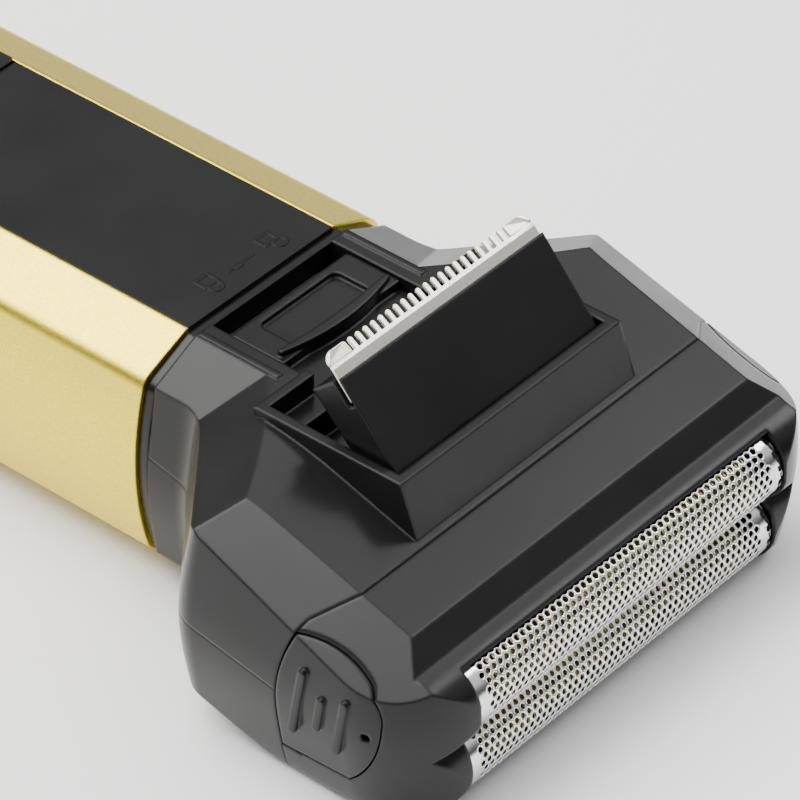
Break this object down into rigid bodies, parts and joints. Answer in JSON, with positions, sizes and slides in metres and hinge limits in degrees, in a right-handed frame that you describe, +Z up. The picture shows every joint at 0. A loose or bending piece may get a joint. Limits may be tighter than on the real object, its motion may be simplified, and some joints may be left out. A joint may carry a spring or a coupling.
{
  "type": "foil shaver",
  "caption": "Cordless foil shaver lying on its front face: gold handle sleeve, black flared head, perforated foils, flip-up trimmer and lift-off foil frame.",
  "frame": {"origin": "on the resting surface, under the middle of the bounding box", "axes": "+Y from the foils to the base of the handle, +X across the head, +Z up, out of the trimmer side"},
  "size_m": [0.0694, 0.1499, 0.0405],
  "materials": {
    "battery_wrap": "battery wrap",
    "blade_steel": "blade steel",
    "bright_steel": "bright steel",
    "button_metal": "button metal",
    "circuit_board": "circuit board",
    "clear_light_pipe": "clear light pipe",
    "foil_chrome": "foil chrome",
    "gloss_black_panel": "gloss black panel",
    "gold_anodised": "gold anodised",
    "gold_cutter": "gold cutter",
    "inner_plastic": "inner plastic",
    "matte_black_panel": "matte black panel",
    "satin_black_plastic": "satin black plastic",
    "socket_metal": "socket metal",
    "white_acetal": "white acetal"
  },
  "bodies": {
    "handle": {"back_panel": "matte_black_panel", "battery": "battery_wrap", "battery_lights": "clear_light_pipe", "battery_tray": "inner_plastic", "bridge_rail": "bright_steel", "casing_screw_left": "bright_steel", "casing_screw_right": "bright_steel", "charging_socket": "socket_metal", "circuit_board": "circuit_board", "collar_ring": "satin_black_plastic", "control_panel": "gloss_black_panel", "drive_deck": "inner_plastic", "end_cap": "satin_black_plastic", "gold_sleeve": "gold_anodised", "grip_pad": "matte_black_panel", "lower_casing": "satin_black_plastic", "motor": "bright_steel", "motor_mount": "inner_plastic", "tact_switch": "inner_plastic", "trimmer_pivot_pin": "bright_steel", "trimmer_spring": "bright_steel", "upper_casing": "satin_black_plastic"},
    "power_button_body": {"power_button": "button_metal"},
    "release_left_body": {"release_button_left": "satin_black_plastic", "release_spring_left": "bright_steel"},
    "release_right_body": {"release_button_right": "satin_black_plastic", "release_spring_right": "bright_steel"},
    "cassette_body": {"foil_frame": "satin_black_plastic"},
    "foil_upper_body": {"foil_upper": "foil_chrome", "foil_carrier_upper": "inner_plastic"},
    "foil_lower_body": {"foil_lower": "foil_chrome", "foil_carrier_lower": "inner_plastic"},
    "bridge_body": {"drive_bridge": "white_acetal"},
    "cutter_upper_body": {"cutter_upper": "gold_cutter"},
    "cutter_lower_body": {"cutter_lower": "gold_cutter"},
    "rotor_body": {"motor_rotor": "bright_steel"},
    "slide_body": {"trimmer_slide": "satin_black_plastic"},
    "trimmer_body_unit": {"trimmer_body": "satin_black_plastic", "trimmer_comb": "blade_steel"},
    "trimmer_cutter_body": {"trimmer_cutter": "blade_steel"}
  },
  "joints": [
    {"name": "trimmer_flip", "type": "hinge", "parent": "handle", "child": "trimmer_body_unit", "pos_m": [0, -0.0546, 0.0285], "axis": [1, 0, 0], "range_deg": [-48.6, 0]},
    {"name": "trimmer_slide_move", "type": "slide", "parent": "handle", "child": "slide_body", "axis": [0, 1, 0], "range_m": [0, 0.002]},
    {"name": "power_press", "type": "slide", "parent": "handle", "child": "power_button_body", "axis": [0, 0, 1], "range_m": [0, 0.0008], "stiffness_N_per_m": 600},
    {"name": "release_left_press", "type": "slide", "parent": "handle", "child": "release_left_body", "axis": [1, 0, 0], "range_m": [0, 0.0012], "stiffness_N_per_m": 500},
    {"name": "release_right_press", "type": "slide", "parent": "handle", "child": "release_right_body", "axis": [-1, 0, 0], "range_m": [0, 0.0012], "stiffness_N_per_m": 500},
    {"name": "cassette_lift", "type": "slide", "parent": "handle", "child": "cassette_body", "axis": [0, -0.9925, -0.1226], "range_m": [0, 0.014]},
    {"name": "bridge_slide", "type": "slide", "parent": "handle", "child": "bridge_body", "axis": [1, 0, 0], "range_m": [-0.001, 0.001]},
    {"name": "cutter_upper_float", "type": "slide", "parent": "bridge_body", "child": "cutter_upper_body", "axis": [0, 0.9925, 0.1226], "range_m": [0, 0.001]},
    {"name": "cutter_lower_float", "type": "slide", "parent": "bridge_body", "child": "cutter_lower_body", "axis": [0, 0.9925, 0.1226], "range_m": [0, 0.001]},
    {"name": "foil_upper_float", "type": "slide", "parent": "cassette_body", "child": "foil_upper_body", "axis": [0, 0.9925, 0.1226], "range_m": [0, 0.001]},
    {"name": "foil_lower_float", "type": "slide", "parent": "cassette_body", "child": "foil_lower_body", "axis": [0, 0.9925, 0.1226], "range_m": [0, 0.001]},
    {"name": "motor_spin", "type": "hinge", "parent": "handle", "child": "rotor_body", "pos_m": [0, -0.036, 0.0125], "axis": [0, 1, 0], "continuous": true},
    {"name": "trimmer_cutter_move", "type": "slide", "parent": "trimmer_body_unit", "child": "trimmer_cutter_body", "axis": [1, 0, 0], "range_m": [-0.001, 0.001]}
  ],
  "couplings": [
    {"joint": "trimmer_slide_move", "follows": "trimmer_flip", "m_per_rad": -0.0023578},
    {"joint": "foil_upper_float", "follows": "cutter_upper_float", "ratio": 1},
    {"joint": "foil_lower_float", "follows": "cutter_lower_float", "ratio": 1},
    {"joint": "trimmer_cutter_move", "follows": "bridge_slide", "ratio": 1}
  ]
}
